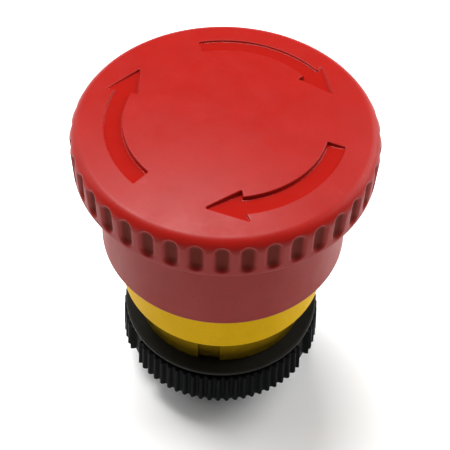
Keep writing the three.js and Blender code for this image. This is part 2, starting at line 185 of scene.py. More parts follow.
def combine(obj, shells, operation):
    """The object with closed shells cut from it or joined to it, applied to its mesh."""
    for i, shell in enumerate(shells):
        tool = new_object(f"tool_{i}", shell)
        modifier = obj.modifiers.new("combine", "BOOLEAN")
        modifier.operation = operation
        modifier.solver = "EXACT"
        modifier.object = tool
        apply_modifiers(obj)
        bpy.data.objects.remove(tool)
    return obj


def apply_modifiers(obj):
    graph = bpy.context.evaluated_depsgraph_get()
    mesh = bpy.data.meshes.new_from_object(obj.evaluated_get(graph))
    obj.modifiers.clear()
    obj.data = mesh


def finish_shading(obj, sharp=38):
    obj.data.shade_smooth()
    obj.data.set_sharp_from_angle(angle=math.radians(sharp))
    return obj


def round_edges(obj, width, segments=3, angle=40):
    """Rounds every edge sharper than the angle."""
    modifier = obj.modifiers.new("round", "BEVEL")
    modifier.width = width * MM
    modifier.segments = segments
    modifier.limit_method = "ANGLE"
    modifier.angle_limit = math.radians(angle)
    modifier.harden_normals = False
    apply_modifiers(obj)
    return finish_shading(obj)


def cuboid(azimuth, inner, outer, width, bottom, top):
    """A closed block at an azimuth, between two radii and two heights."""
    corners = [(x, y, z) for x in (inner, outer) for y in (-width / 2, width / 2) for z in (bottom, top)]
    faces = [(0, 1, 3, 2), (4, 6, 7, 5), (0, 4, 5, 1), (2, 3, 7, 6), (0, 2, 6, 4), (1, 5, 7, 3)]
    return moved((corners, faces), Matrix.Rotation(azimuth, 4, "Z"))


def rod(radius, bottom, top, columns=32):
    return lathe([(0, bottom), (radius, bottom), (radius, top), (0, top)], columns, closed=False)


def slab(outline, bottom, top):
    """A closed outline of (x, y) points, counterclockwise, given a thickness."""
    count = len(outline)
    verts = [(x, y, z) for z in (bottom, top) for x, y in outline]
    sides = [(i, (i + 1) % count, count + (i + 1) % count, count + i) for i in range(count)]
    return verts, [tuple(reversed(range(count))), tuple(range(count, 2 * count)), *sides]


def open_ring(inner, outer, gap, steps=64):
    """The outline of a flat ring with a gap centred on +X."""
    angles = [gap / 2 + (2 * math.pi - gap) * k / steps for k in range(steps + 1)]
    outside = [(outer * math.cos(a), outer * math.sin(a)) for a in angles]
    inside = [(inner * math.cos(a), inner * math.sin(a)) for a in reversed(angles)]
    return outside + inside


def wire(path, radius, sides=12):
    """(vertices, faces) of a round wire along a list of points, with rounded ends."""
    path = [Vector(p) for p in path]
    last = len(path) - 1
    tangents = [(path[min(i + 1, last)] - path[max(i - 1, 0)]).normalized() for i in range(len(path))]
    side = tangents[0].orthogonal().normalized()
    rings = []
    for i, (point, tangent) in enumerate(zip(path, tangents)):
        side = (side - tangent * side.dot(tangent)).normalized()
        rings.append((point, tangent, side, 1.0))
        if i in (0, last):
            out = -1 if i == 0 else 1
            ends = [(point + tangent * out * radius * 0.6 * math.sin(a), tangent, side, math.cos(a))
                    for a in (math.radians(30), math.radians(60), math.radians(85))]
            rings = ends[::-1] + rings if i == 0 else rings + ends
    verts = []
    for point, tangent, side, size in rings:
        other = tangent.cross(side)
        for k in range(sides):
            a = 2 * math.pi * k / sides
            verts.append(tuple(point + (side * math.cos(a) + other * math.sin(a)) * radius * size))
    faces = []
    for i in range(len(rings) - 1):
        for k in range(sides):
            n = (k + 1) % sides
            faces.append((i * sides + k, i * sides + n, (i + 1) * sides + n, (i + 1) * sides + k))
    faces.append(tuple(reversed(range(sides))))
    faces.append(tuple(range((len(rings) - 1) * sides, len(rings) * sides)))
    return verts, faces


def helix(radius, bottom, top, turns, closed_turns=0, wire_radius=0.4, per_turn=40):
    """A spring's centre line; closed_turns at each end lie flat against each other."""
    points = []
    steps = round(turns * per_turn)
    pitch_closed = 2 * wire_radius * 1.04
    dead = closed_turns * pitch_closed
    for i in range(steps + 1):
        turn = turns * i / steps
        if turn < closed_turns:
            height = bottom + turn * pitch_closed
        elif turn > turns - closed_turns:
            height = top - (turns - turn) * pitch_closed
        else:
            share = (turn - closed_turns) / (turns - 2 * closed_turns)
            height = bottom + dead + (top - bottom - 2 * dead) * share
        angle = 2 * math.pi * turn
        points.append((radius * math.cos(angle), radius * math.sin(angle), height))
    return points


# ---- materials ----

class Look:
    """One procedural material. Coordinates are the object's own, scaled to millimetres."""

    def __init__(self, name, metallic=0.0, **sockets):
        self.material = bpy.data.materials.new(name)
        self.material.use_nodes = True
        self.tree = self.material.node_tree
        self.shader = self.tree.nodes["Principled BSDF"]
        self.set(self.shader, Metallic=metallic, **sockets)
        position = self.tree.nodes.new("ShaderNodeTexCoord").outputs["Object"]
        self.space = self.math_vector("SCALE", position, 1 / MM)

    def set(self, node, **sockets):
        for socket, value in sockets.items():
            node.inputs[socket.replace("_", " ")].default_value = value

    def link(self, source, socket):
        self.tree.links.new(source, socket)
        return source

    def math_vector(self, operation, source, scale):
        node = self.tree.nodes.new("ShaderNodeVectorMath")
        node.operation = operation
        self.link(source, node.inputs[0])
        node.inputs["Scale"].default_value = scale
        return node.outputs[0]

    def stretched(self, x, y, z):
        """The coordinates scaled along each axis."""
        node = self.tree.nodes.new("ShaderNodeMapping")
        self.link(self.space, node.inputs["Vector"])
        node.inputs["Scale"].default_value = (x, y, z)
        return node.outputs[0]

    def noise(self, size, detail=3.0, roughness=0.55, space=None):
        """Noise whose lumps are about size millimetres across."""
        node = self.tree.nodes.new("ShaderNodeTexNoise")
        self.link(space or self.space, node.inputs["Vector"])
        self.set(node, Scale=1 / size, Detail=detail, Roughness=roughness)
        return node.outputs["Fac"]

    def band(self, source, start, end, low_value=0.0, high_value=1.0):
        """The source mapped from start..end to two values, clamped."""
        node = self.tree.nodes.new("ShaderNodeMapRange")
        self.link(source, node.inputs["Value"])
        self.set(node, From_Min=start, From_Max=end, To_Min=low_value, To_Max=high_value)
        return node.outputs["Result"]

    def calc(self, operation, a, b=0.5):
        node = self.tree.nodes.new("ShaderNodeMath")
        node.operation = operation
        for source, socket in ((a, node.inputs[0]), (b, node.inputs[1])):
            if isinstance(source, (int, float)):
                socket.default_value = source
            else:
                self.link(source, socket)
        return node.outputs[0]

    def parts(self):
        """x, y and z in millimetres."""
        node = self.tree.nodes.new("ShaderNodeSeparateXYZ")
        self.link(self.space, node.inputs[0])
        return node.outputs

    def mix(self, factor, a, b):
        """A colour between a and b, each a colour or an output."""
        node = self.tree.nodes.new("ShaderNodeMix")
        node.data_type = "RGBA"
        self.link(factor, node.inputs["Factor"])
        for source, socket in ((a, node.inputs[6]), (b, node.inputs[7])):
            if isinstance(source, tuple):
                socket.default_value = (*source, 1)
            else:
                self.link(source, socket)
        return node.outputs[2]

    def bump(self, source, depth, after=None):
        """A bump of that many millimetres."""
        node = self.tree.nodes.new("ShaderNodeBump")
        self.set(node, Strength=1.0, Distance=depth * MM)
        self.link(source, node.inputs["Height"])
        if after:
            self.link(after, node.inputs["Normal"])
        return node.outputs["Normal"]

    def done(self, color=None, roughness=None, normal=None):
        if color:
            self.link(color, self.shader.inputs["Base Color"])
        if roughness:
            self.link(roughness, self.shader.inputs["Roughness"])
        if normal:
            self.link(normal, self.shader.inputs["Normal"])
        return self.material


def shade(color, factor):
    return tuple(min(1.0, c * factor) for c in color)


def edge_mask(look):
    """High on worn convex edges."""
    geometry = look.tree.nodes.new("ShaderNodeNewGeometry")
    return look.band(geometry.outputs["Pointiness"], 0.52, 0.6)


def moulded(name, color, roughness, grain=0.004, mottle=0.08, wear=0.25, worn=None, polished=None,
            painted_shade_mask=None, painted_shade_color=None, **sockets):
    """Moulded plastic: cloudy pigment, fine spark grain, handling marks and paler worn edges.

    polished(look) is a mask of where the grain gives way to a smooth, deeper coloured face, and
    the shade mask marks where shade is painted into the colour as a darker tint."""
    look = Look(name, **sockets)
    cloud = look.noise(5, detail=6, roughness=0.65)
    speck = look.noise(0.4, detail=2)
    tint = look.mix(look.band(cloud, 0.35, 0.65), shade(color, 1 - mottle), shade(color, 1 + mottle))
    tint = look.mix(look.band(speck, 0.4, 0.7, 0, 0.4), tint, shade(color, 0.85))
    scuffs = look.band(look.noise(1.1, detail=6, roughness=0.7), 0.5, 0.66)
    worn_edges = look.calc("MULTIPLY", edge_mask(look), look.calc("MULTIPLY", scuffs, wear))
    tint = look.mix(worn_edges, tint, worn or shade(color, 1.6))
    smears = look.noise(3.2, detail=5, space=look.stretched(1, 1, 0.45))
    gloss = look.calc("ADD", look.band(smears, 0.3, 0.7, roughness - 0.04, roughness + 0.06),
                      look.calc("MULTIPLY", speck, 0.04))
    fine = look.noise(0.3, detail=3)
    # painted shade: a darker tint mixed in where the shade mask is high, with a rougher surface there
    if painted_shade_mask:
        patchy = look.band(look.noise(1.2, detail=5), 0.3, 0.6, 0.95, 1)
        painted_shade_amount = look.calc("MULTIPLY", painted_shade_mask(look), patchy)
        tint = look.mix(painted_shade_amount, tint, painted_shade_color)
        gloss = look.calc("ADD", gloss, look.calc("MULTIPLY", painted_shade_amount, 0.4))
    if polished:
        mask = polished(look)
        tint = look.mix(mask, tint, shade(color, 0.96))
        gloss = look.calc("SUBTRACT", gloss, look.calc("MULTIPLY", mask, 0.22))
        fine = look.calc("MULTIPLY", fine, look.calc("SUBTRACT", 1, mask))
    waves = look.noise(2.6, detail=2)
    normal = look.bump(waves, grain * 0.8, look.bump(fine, grain))
    return look.done(tint, gloss, normal)


def rubber(name, color):
    look = Look(name)
    dust = look.band(look.noise(2.2, detail=6, roughness=0.7), 0.45, 0.75, 0, 0.3)
    tint = look.mix(dust, color, (0.09, 0.085, 0.075))
    gloss = look.band(look.noise(0.9), 0.3, 0.7, 0.68, 0.9)
    return look.done(tint, gloss, look.bump(look.noise(0.12, detail=3), 0.006))


def turned_metal(name, color, roughness, rings=0.12):
    """Machined metal: fine turning rings along Z, tarnish and small scratches."""
    look = Look(name, metallic=1.0)
    tool_marks = look.noise(rings, detail=2, space=look.stretched(0.15, 0.15, 1))
    tarnish = look.band(look.noise(1.8, detail=5), 0.45, 0.75, 0, 0.6)
    tint = look.mix(tarnish, color, shade(color, 0.55))
    gloss = look.band(look.noise(0.8, detail=4), 0.3, 0.7, roughness - 0.08, roughness + 0.14)
    return look.done(tint, gloss, look.bump(tool_marks, 0.004))


# painted shade: a dark brownish red for the rim's flutes, standing in for the shade under their hoods
FLUTE_PAINTED_SHADE = (0.112, 0.01, 0.004)
NECK_PAINTED_SHADE = (0.04, 0.025, 0.0)  # painted shade for the collar's neck, standing in for the shade under the collar's edge

# The skirt's red is darker than the cap's red: painted shade for the skirt under the cap's overhang.
RED_SKIRT = moulded("red_skirt_plastic", (0.228, 0.011, 0.0064), 0.45, grain=0.004, mottle=0.06,
                    worn=(0.42, 0.1, 0.08), Specular_IOR_Level=0.135)
BLACK = moulded("black_plastic", (0.0155, 0.015, 0.012), 0.45, grain=0.004, mottle=0.2, wear=0.5,
                worn=(0.032, 0.032, 0.03), Specular_IOR_Level=0.055)
NUT_BLACK = moulded("black_nut_plastic", (0.004, 0.0044, 0.005), 0.45, grain=0.006, mottle=0.25, wear=0.5,
                    worn=(0.028, 0.028, 0.026), Specular_IOR_Level=0.03)
NATURAL = moulded("natural_plastic", (0.62, 0.58, 0.46), 0.45, grain=0.003, mottle=0.04, wear=0.1)
RUBBER = rubber("seal_rubber", (0.018, 0.018, 0.018))
STEEL = turned_metal("spring_steel", (0.55, 0.55, 0.56), 0.28)
BRASS = turned_metal("turned_brass", (0.62, 0.43, 0.16), 0.3)
ZINC = turned_metal("cast_zinc", (0.36, 0.37, 0.38), 0.46, rings=0.5)


def add_piece(obj, node, body, look):
    """The object stands for a CAD node, rides on its body and wears a material."""
    obj.data.materials.clear()
    obj.data.materials.append(look)
    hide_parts(node)
    if body:
        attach(obj, body)
    return obj


# ---- cap ----

CAP_RADIUS, RIM_RADIUS = 20.0, 19.9
RIM, SHOULDER, FILLET = low("cap"), 47.5, 1.8
DOME_RADIUS, CROWN = 118.0, high("cap")
CAVITY_RADIUS, CEILING = 17.6, 47.5
FLUTES, FLUTE_RADIUS, FLUTE_DEPTH = 40, 1.2, 0.65
FLUTE_BOTTOM, FLUTE_TOP = 45.0, 47.6  # centres of a flute's round ends
FLUTE_BLEND = 0.22  # how softly a flute runs into the rim
TOP_RING = 17.4  # where the domed disc with the arrows meets the turned rim
CAP_COLUMNS = 720


def dome(radius):
    return CROWN - radius ** 2 / (2 * DOME_RADIUS)


def rim_draft(height):
    """The rim's radius at the crests below the shoulder."""
    return CAP_RADIUS - (CAP_RADIUS - RIM_RADIUS) * (SHOULDER - height) / (SHOULDER - RIM)


def soft_min(a, b, width):
    blend = np.clip(0.5 + 0.5 * (b - a) / width, 0, 1)
    return b + (a - b) * blend - width * blend * (1 - blend)


def flute_dent(angle, height):
    """How far the flutes draw the rim in at an angle and a height."""
    pitch = 2 * math.pi / FLUTES
    turn = (angle - FRONT + pitch / 2) % pitch - pitch / 2
    centre = CAP_RADIUS - FLUTE_DEPTH + FLUTE_RADIUS
    past_end = np.maximum(height - FLUTE_TOP, 0) + np.maximum(FLUTE_BOTTOM - height, 0)
    bore = np.sqrt(np.maximum(FLUTE_RADIUS ** 2 - past_end ** 2, 0))
    half_chord = bore ** 2 - (centre * np.sin(turn)) ** 2
    near = centre * np.cos(turn) - np.sqrt(np.maximum(half_chord, 0))
    rise = np.clip((height - SHOULDER) / FILLET, 0, 1)
    shoulder = CAP_RADIUS - FILLET * (1 - np.sqrt(1 - rise ** 2))
    edge = np.where(height < SHOULDER, rim_draft(height), shoulder)
    return edge - soft_min(edge, np.where(half_chord > 0, near, edge + 1), FLUTE_BLEND)


def cap_shape(angle, radius, height):
    """Flutes on the rim's outside."""
    return radius - flute_dent(angle, height) * (radius > CAVITY_RADIUS + 0.5)


def rim_section():
    """From the cavity's ceiling down, under the rim and up to the dome."""
    points = rounded([(8, CEILING), (CAVITY_RADIUS, CEILING, 0.4), (CAVITY_RADIUS, RIM, 0.2), (18.4, RIM),
                      (19, RIM), (RIM_RADIUS, RIM, 0.25), (CAP_RADIUS, SHOULDER)], closed=False)[:-1]
    heights = np.arange(RIM + 0.4, SHOULDER, 0.14)
    points += [(float(rim_draft(h)), float(h)) for h in heights]
    for k in range(22):
        a = math.radians(83) * k / 21
        points.append((CAP_RADIUS - FILLET + FILLET * math.cos(a), SHOULDER + FILLET * math.sin(a)))
    points.append((TOP_RING, dome(TOP_RING)))
    return points


ARROWS, ARROW_FLOOR = 3, 49.42  # the floors are flat
TAIL, SWEEP, TIP = math.radians(225), math.radians(65), math.radians(83.4)
SHAFT = (13.2, 15.5)  # the arrow's inner and outer radius
BARBS, POINT, OUTER_SWEEP = (12.2, 16.7), 14.8, math.radians(1.2)


def polar(radius, angle):
    return Vector((radius * math.cos(angle), radius * math.sin(angle)))


def arrow_outline():
    """The first arrow's outline, counterclockwise, with its corners eased and evenly spaced points."""
    neck, tip, arc = TAIL - SWEEP, TAIL - TIP, 40
    outer = [polar(SHAFT[1], neck + SWEEP * k / arc) for k in range(arc + 1)]
    inner = [polar(SHAFT[0], TAIL - SWEEP * k / arc) for k in range(arc + 1)]
    head = [polar(BARBS[0], neck), polar(POINT, tip), polar(BARBS[1], neck + OUTER_SWEEP)]
    corners = [*outer, *inner, *head]
    eased = rounded([(p.x, p.y, 0.09) if is_corner(corners, i) else (p.x, p.y)
                     for i, p in enumerate(corners)], steps=5)
    return spaced([Vector(p) for p in eased], 0.34)


def is_corner(points, i):
    back = points[i] - points[i - 1]
    ahead = points[(i + 1) % len(points)] - points[i]
    return back.angle(ahead) > math.radians(15)


def spaced(points, step):
    """The closed outline with long stretches filled in."""
    result = []
    for here, there in zip(points, points[1:] + points[:1]):
        pieces = max(1, round((there - here).length / step))
        result += [here.lerp(there, k / pieces) for k in range(pieces)]
    return result


def offset(outline, distance):
    """The outline moved outwards by its own normals."""
    result = []
    for i, here in enumerate(outline):
        along = (outline[(i + 1) % len(outline)] - outline[i - 1]).normalized()
        result.append(here + Vector((along.y, -along.x)) * distance)
    return result


def ring_points(radius, count):
    return [polar(radius, FRONT + 2 * math.pi * k / count) for k in range(count)]


# distance outside the arrow's edge, and how far the surface has gone from the dome to the floor there
ARROW_STEPS = ((0.24, 0.0), (0.17, 0.0), (0.1, 0.03), (0.05, 0.14), (0.01, 0.36), (-0.03, 0.81),
               (-0.07, 0.95), (-0.12, 1.0), (-0.18, 1.0))
MESH_STEP = 0.75  # between the rings of points on the dome
BORDER = 0.34  # how far they keep from the arrows' edges


def domed_disc():
    """The cap's top inside TOP_RING: a dome with three sunk arrows, as one triangulated skin."""
    points, sunk, edges = [], [], []

    def add_loop(loop, part):
        start = len(points)
        points.extend(loop)
        sunk.extend([part] * len(loop))
        edges.extend((start + i, start + (i + 1) % len(loop)) for i in range(len(loop)))

    add_loop(ring_points(TOP_RING, CAP_COLUMNS), 0)
    outline = arrow_outline()
    loops = []
    for k in range(ARROWS):
        turned_outline = [Matrix.Rotation(-k * THIRD, 2) @ p for p in outline]
        loops.append(turned_outline)
        for distance, part in ARROW_STEPS:
            add_loop(offset(turned_outline, distance), part)
    border = np.array([tuple(p) for loop in loops for p in loop])
    inner_rings = [(17.22, 240)]
    inner_rings += [(r, max(6, round(2 * math.pi * r / MESH_STEP))) for r in np.arange(16.5, 0.3, -MESH_STEP)]
    for radius, count in inner_rings:
        for p in ring_points(float(radius), count):
            if np.min(np.hypot(*(border - np.array(p)).T)) > BORDER:
                points.append(p)
                sunk.append(1 if any(inside(p, loop) for loop in loops) else 0)
    points.append(Vector((0, 0)))
    sunk.append(0)
    flat, _, faces, sources, _, _ = delaunay_2d_cdt(points, edges, [], 0, 1e-5)
    places = np.array([tuple(p) for p in points])
    verts = []
    for p, source in zip(flat, sources):
        nearest = source[0] if source else int(np.argmin(np.hypot(*(places - np.array(p)).T)))
        height = dome(p.length)
        verts.append((p.x, p.y, height + (ARROW_FLOOR - height) * sunk[nearest]))
    return verts, [tuple(face) for face in faces]


def inside(point, loop):
    """True if the point is inside the closed loop."""
    hits = 0
    for a, b in zip(loop, loop[1:] + loop[:1]):
        if (a.y > point.y) != (b.y > point.y):
            hits += point.x < a.x + (point.y - a.y) * (b.x - a.x) / (b.y - a.y)
    return hits % 2 == 1


SCREW_CIRCLE = 10.4


def screw_places():
    return [Matrix.Rotation(i * THIRD, 4, "Z") @ Matrix.Translation((SCREW_CIRCLE, 0, 0)) for i in range(3)]


def arrow_floors(look):
    """The polished flat floors of the arrows."""
    x, y, z = look.parts()
    across = look.calc("ADD", look.calc("MULTIPLY", x, x), look.calc("MULTIPLY", y, y))
    inner = look.band(across, 16.55 ** 2, 16.75 ** 2, 1, 0)
    low = look.band(z, ARROW_FLOOR + 0.02, ARROW_FLOOR + 0.05, 1, 0)
    return look.calc("MULTIPLY", low, look.calc("MULTIPLY", inner, look.band(z, 48.4, 48.6)))


def flute_painted_shade(look):
    """Painted shade on the rim below the shoulder, darkest in the flutes, where their hoods shade them."""
    x, y, z = look.parts()
    radius = look.calc("SQRT", look.calc("ADD", look.calc("MULTIPLY", x, x), look.calc("MULTIPLY", y, y)))
    dent = look.band(radius, CAP_RADIUS - 0.5, CAP_RADIUS - 0.15, 1, 0)
    outside = look.band(radius, CAVITY_RADIUS + 0.8, CAVITY_RADIUS + 1)
    below = look.band(z, SHOULDER, SHOULDER + 0.9, 1, 0)
    deep = look.calc("MAXIMUM", dent, 0.25)
    return look.calc("MULTIPLY", deep, look.calc("MULTIPLY", outside, below))


# The flutes and the rim below the shoulder are darkened with painted shade.
RED = moulded("red_plastic", (0.28, 0.0068, 0.004), 0.36, grain=0.005, mottle=0.04, wear=0.1,
              worn=(0.66, 0.1, 0.065), polished=arrow_floors, painted_shade_mask=flute_painted_shade, painted_shade_color=FLUTE_PAINTED_SHADE,
              Specular_IOR_Level=0.145)


def make_cap():
    rim = lathe(rim_section(), CAP_COLUMNS, closed=False, shape=cap_shape)
    ceiling = lathe([(0, CEILING), (4, CEILING), (8, CEILING)], CAP_COLUMNS, closed=False)
    boss = lathe(rounded([(0, CEILING + 0.3), (2.3, CEILING + 0.3), (2, 46, 0.2), (0.85, 46, 0.1),
                          (0.85, CEILING + 0.4), (0, CEILING + 0.4)], closed=False), 32, closed=False)
    bosses = [moved(boss, place) for place in screw_places()]
    obj = new_object("red_cap", joined(rim, ceiling, domed_disc(), *bosses))
    add_piece(obj, "cap", "head", RED)


make_cap()


# ---- skirt, hub and screws ----

def make_skirt():
    bore, mouth, shoulder, web = 15.65, 17.05, 16.65, 43.2  # the outside flares towards the mouth
    bottom, top = low("skirt"), high("skirt")
    corners = [(bore, bottom, 0.3), (mouth, bottom, 0.35), (shoulder, web, 0.15), (17.4, web, 0.15),
               (17.4, top, 0.3), (8.8, top, 0.2), (8.8, web, 0.2), (bore, web, 0.6)]
    obj = new_object("red_skirt", lathe(rounded(corners, steps=5), 240))
    combine(obj, [moved(rod(0.95, web - 1, top + 1), place) for place in screw_places()], "DIFFERENCE")
    add_piece(finish_shading(obj), "skirt", "head", RED_SKIRT)


def make_hub():
    """The hub: a sleeve with a flange for the screws and three lightening slots in the sleeve."""
    corners = [(6.4, 41.3, 0.2), (8.6, 41.3, 0.3), (8.6, 44.8, 0.3), (12.3, 44.8, 0.15), (12.3, 45.7, 0.15),
               (3.65, 45.7, 0.15), (3.65, 44.6, 0.1), (6.4, 44.6, 0.4)]
    obj = new_object("cam_hub_body", lathe(rounded(corners), 144))
    holes = [moved(rod(0.95, 44, 47), place) for place in screw_places()]
    slots = [cuboid(THIRD * (i + 0.5), 7.7, 10, 2.4, 41.9, 44.1) for i in range(3)]
    combine(obj, holes + slots, "DIFFERENCE")
    add_piece(finish_shading(obj), "cam_hub", "head", NATURAL)


def cross_recess(bottom, depth, size):
    """Two blocks that make a cross-head recess."""
    width = size * 0.28
    return [cuboid(angle, -size, size, width, bottom - 1, bottom + depth) for angle in (0, -FRONT)]


def screw_shell(bottom, top, head_height, head_radius, radius, pitch):
    """A self-tapping screw standing on its head: pan head, then a helical thread to a point."""
    start, end = bottom + head_height, top
    length = end - start
    rows = round(length / pitch * 8)
    section = rounded([(0, bottom), (head_radius, bottom, head_height * 0.5), (head_radius, start, 0.08),
                       (radius * 0.78, start)], closed=False, steps=4)[:-1]
    section += [(radius * 0.78, start + length * i / rows) for i in range(rows + 1)] + [(0, end)]

    def thread(angle, section_radius, height):
        phase = (height / pitch - angle / (2 * math.pi)) % 1
        ridge = np.clip(1 - np.abs(phase - 0.5) * 4, 0, 1)
        taper = np.clip((end - height) / (2.5 * radius), 0.12, 1)
        threaded = radius * (0.78 + 0.22 * ridge) * taper
        return np.where((height > start + 0.05) & (section_radius > 0), threaded, section_radius)

    return lathe(section, 32, closed=False, shape=thread)


def make_cap_screws():
    for i in range(3):
        node = f"cap_screw_{i + 1}"
        shell = screw_shell(low(node), high(node), 1.1, 1.7, 0.8, 0.75)
        obj = new_object(f"self_tapping_screw_{i + 1}", shell)
        combine(obj, cross_recess(low(node), 0.6, 0.95), "DIFFERENCE")
        to_circle = Matrix.Translation((SCREW_CIRCLE * MM, 0, 0))
        obj.data.transform(Matrix.Rotation(i * THIRD, 4, "Z") @ to_circle)
        add_piece(finish_shading(obj), node, "head", STEEL)


make_skirt()
make_hub()
make_cap_screws()


# ---- collar and housing ----

def neck_painted_shade(look):
    """Painted shade on the collar's neck under its edge, darker downwards."""
    x, y, z = look.parts()
    radius = look.calc("SQRT", look.calc("ADD", look.calc("MULTIPLY", x, x), look.calc("MULTIPLY", y, y)))
    inside = look.band(radius, 13.2, 14.4, 1, 0)
    return look.calc("MULTIPLY", inside, look.band(z, 14.4, 18, 1, 0.62))


# The collar's neck is darkened with painted shade.
YELLOW = moulded("yellow_plastic", (0.584, 0.34, 0.0), 0.45, grain=0.003, mottle=0.04,
                 worn=(0.78, 0.54, 0.04), painted_shade_mask=neck_painted_shade, painted_shade_color=NECK_PAINTED_SHADE, Specular_IOR_Level=0.03)


def make_collar():
    """The bright band and its narrower neck with a slot in front."""
    radius, neck, bore, mouth, edge, seat = 14.6, 12.5, 11.1, 12.45, 20.0, 30.5
    bottom, top = low("yellow_collar"), high("yellow_collar")
    corners = [(bore, bottom, 0.15), (neck, bottom, 0.2), (neck, edge, 0.15), (radius, edge, 0.22),
               (radius, 30.9, 0.08), (13.85, 30.9, 0.08), (13.85, 32.1, 0.08), (radius, 32.1, 0.08),
               (radius, top, 0.35), (mouth, top, 0.2), (mouth, seat, 0.1), (bore, seat, 0.15),
               (bore, 23.3, 0.05), (12.1, 23.3, 0.05), (12.1, 22.1, 0.05), (bore, 22.1, 0.05)]
    obj = new_object("collar_sleeve", lathe(rounded(corners, steps=5), 240))
    slot = cuboid(INDEX, 11.9, radius + 1, 3.2, bottom - 1, edge - 0.05)
    key_slot = cuboid(INDEX + math.pi, bore - 1, 11.9, 2.4, bottom - 1, 16.2)
    combine(obj, [slot, key_slot], "DIFFERENCE")
    round_edges(obj, 0.1, segments=2, angle=60)
    add_piece(obj, "yellow_collar", "base", YELLOW)


PITCH, THREAD_DEPTH = 1.5, 0.85
BARREL, BORE, BEZEL, PANEL = 10.9, 9.1, 14.5, 12.2
THREAD_END = 11.6  # the thread fades out below the bezel here


def thread_height(angle, height):
    """0 in a right-hand thread's root and 1 on its crest."""
    phase = (height / PITCH - (angle - FRONT) / (2 * math.pi)) % 1
    return np.clip((0.42 - np.abs(phase - 0.5)) / 0.24, 0, 1)


def barrel_shape(angle, radius, height):
    """The thread on the barrel's outside, fading out at its rear chamfer and under the bezel."""
    fade = np.clip((height - 0.5) / 0.8, 0, 1) * np.clip((THREAD_END - height) / 0.6, 0, 1)
    threaded = radius - THREAD_DEPTH * (1 - thread_height(angle, height)) * fade
    on_thread = (radius > BARREL - 0.01) & (radius < BARREL + 0.01) & (height < PANEL)
    return np.where(on_thread, threaded, radius)


def make_housing():
    recess, bezel_top, neck, neck_bore, neck_top = PANEL + 0.25, PANEL + 0.7, 11.0, 10.3, 30.5
    rows = [(BARREL, float(z)) for z in np.arange(0.6, THREAD_END + 0.2, PITCH / 14)]
    corners = [(BORE, 0, 0.15), (BARREL - 0.45, 0, 0.1), (BARREL, 0.45), *rows, (BARREL, recess),
               (13.7, recess, 0.05), (13.7, PANEL, 0.08), (BEZEL, PANEL, 0.12), (BEZEL, bezel_top, 0.28),
               (neck, bezel_top, 0.15), (neck, neck_top, 0.2), (neck_bore, neck_top, 0.2),
               (neck_bore, 16, 0.3), (5.3, 16, 0.2), (5.3, 13.2, 0.2), (BORE, 13.2, 0.2), (BORE, 6.25),
               (9.65, 6.25), (9.65, 5.45), (BORE, 5.45)]
    obj = new_object("housing_body", lathe(rounded(corners), 180, shape=barrel_shape))
    key = cuboid(INDEX + math.pi, 10.7, 11.7, 2, bezel_top - 0.2, 16)
    guides = [cuboid(a, 9.3, 10.8, 1.6, 15.5, 27.9) for a in (FRONT, -FRONT)]
    combine(obj, [key, *guides], "UNION")
    keyway = cuboid(INDEX, BARREL - 0.9, BARREL + 1, 3.2, -1, 11.55)
    couplings = [cuboid(a, 8, 12, 4, -1, 2.5) for a in (0, math.pi)]
    combine(obj, [keyway, *couplings], "DIFFERENCE")
    add_piece(finish_shading(obj), "housing", "base", BLACK)


make_collar()
make_housing()


# ---- ring nut and washer ----

TEETH, TOOTH_DEPTH = 72, 0.45
SLOT_WIDTH, SLOT_DEPTH = math.radians(11), 0.8  # three spanner slots, a third of a turn apart


def nut_drop(angle):
    """How far below the tooth tips the nut's outside is at an angle."""
    pitch = 2 * math.pi / TEETH
    phase = np.abs(((angle / pitch + 0.5) % 1) - 0.5) * 2  # 0 on a tooth's tip, 1 in its root
    tooth = TOOTH_DEPTH * np.clip((phase - 0.22) / 0.56, 0, 1)
    toward = np.abs((angle - math.radians(90) + THIRD / 2) % THIRD - THIRD / 2)
    in_slot = np.clip((SLOT_WIDTH / 2 - toward) / math.radians(0.6), 0, 1)
    return tooth * (1 - in_slot) + SLOT_DEPTH * in_slot


def nut_shape(angle, radius, height):
    on_rim = np.clip((radius - 13.9) / 0.3, 0, 1)
    return radius - nut_drop(angle) * on_rim


def make_nut():
    bottom, top, bore, recess = low("ring_nut"), high("ring_nut"), 11.1, 13.5
    floor = 10.35
    thread_rows = [(bore, float(z)) for z in np.arange(floor - 0.5, bottom + 0.5, -PITCH / 14)]
    corners = [(bore + 0.3, bottom), (14.2, bottom), (15.1, bottom, 0.3), (14.8, top, 0.3), (14.1, top),
               (recess, top, 0.12), (recess, floor, 0.1), (bore + 0.3, floor), (bore, floor - 0.3),
               *thread_rows, (bore, bottom + 0.3)]

    def shape(angle, radius, height):
        outside = nut_shape(angle, radius, height)
        fade = np.clip((height - bottom - 0.3) / 0.5, 0, 1) * np.clip((floor - 0.3 - height) / 0.5, 0, 1)
        inner = radius + 0.45 * (1 - thread_height(angle, height)) * fade
        return np.where(radius < bore + 0.01, inner, outside)

    obj = new_object("knurled_ring_nut", lathe(rounded(corners), TEETH * 16, shape=shape), sharp=30)
    add_piece(obj, "ring_nut", "nut", NUT_BLACK)


def make_washer():
    inner, outer, bottom, top = 11.15, 13.2, low("keyed_washer"), high("keyed_washer")
    obj = new_object("tabbed_washer", lathe(rounded([(inner, bottom, 0.08), (outer, bottom, 0.1),
                                                     (outer, top, 0.1), (inner, top, 0.08)], steps=2), 144))
    tab = cuboid(INDEX, 10.15, inner + 0.4, 2.9, bottom + 0.02, top - 0.02)
    combine(obj, [tab], "UNION")
    add_piece(finish_shading(obj), "keyed_washer", "washer", ZINC)


make_nut()
make_washer()


# ---- seals ----

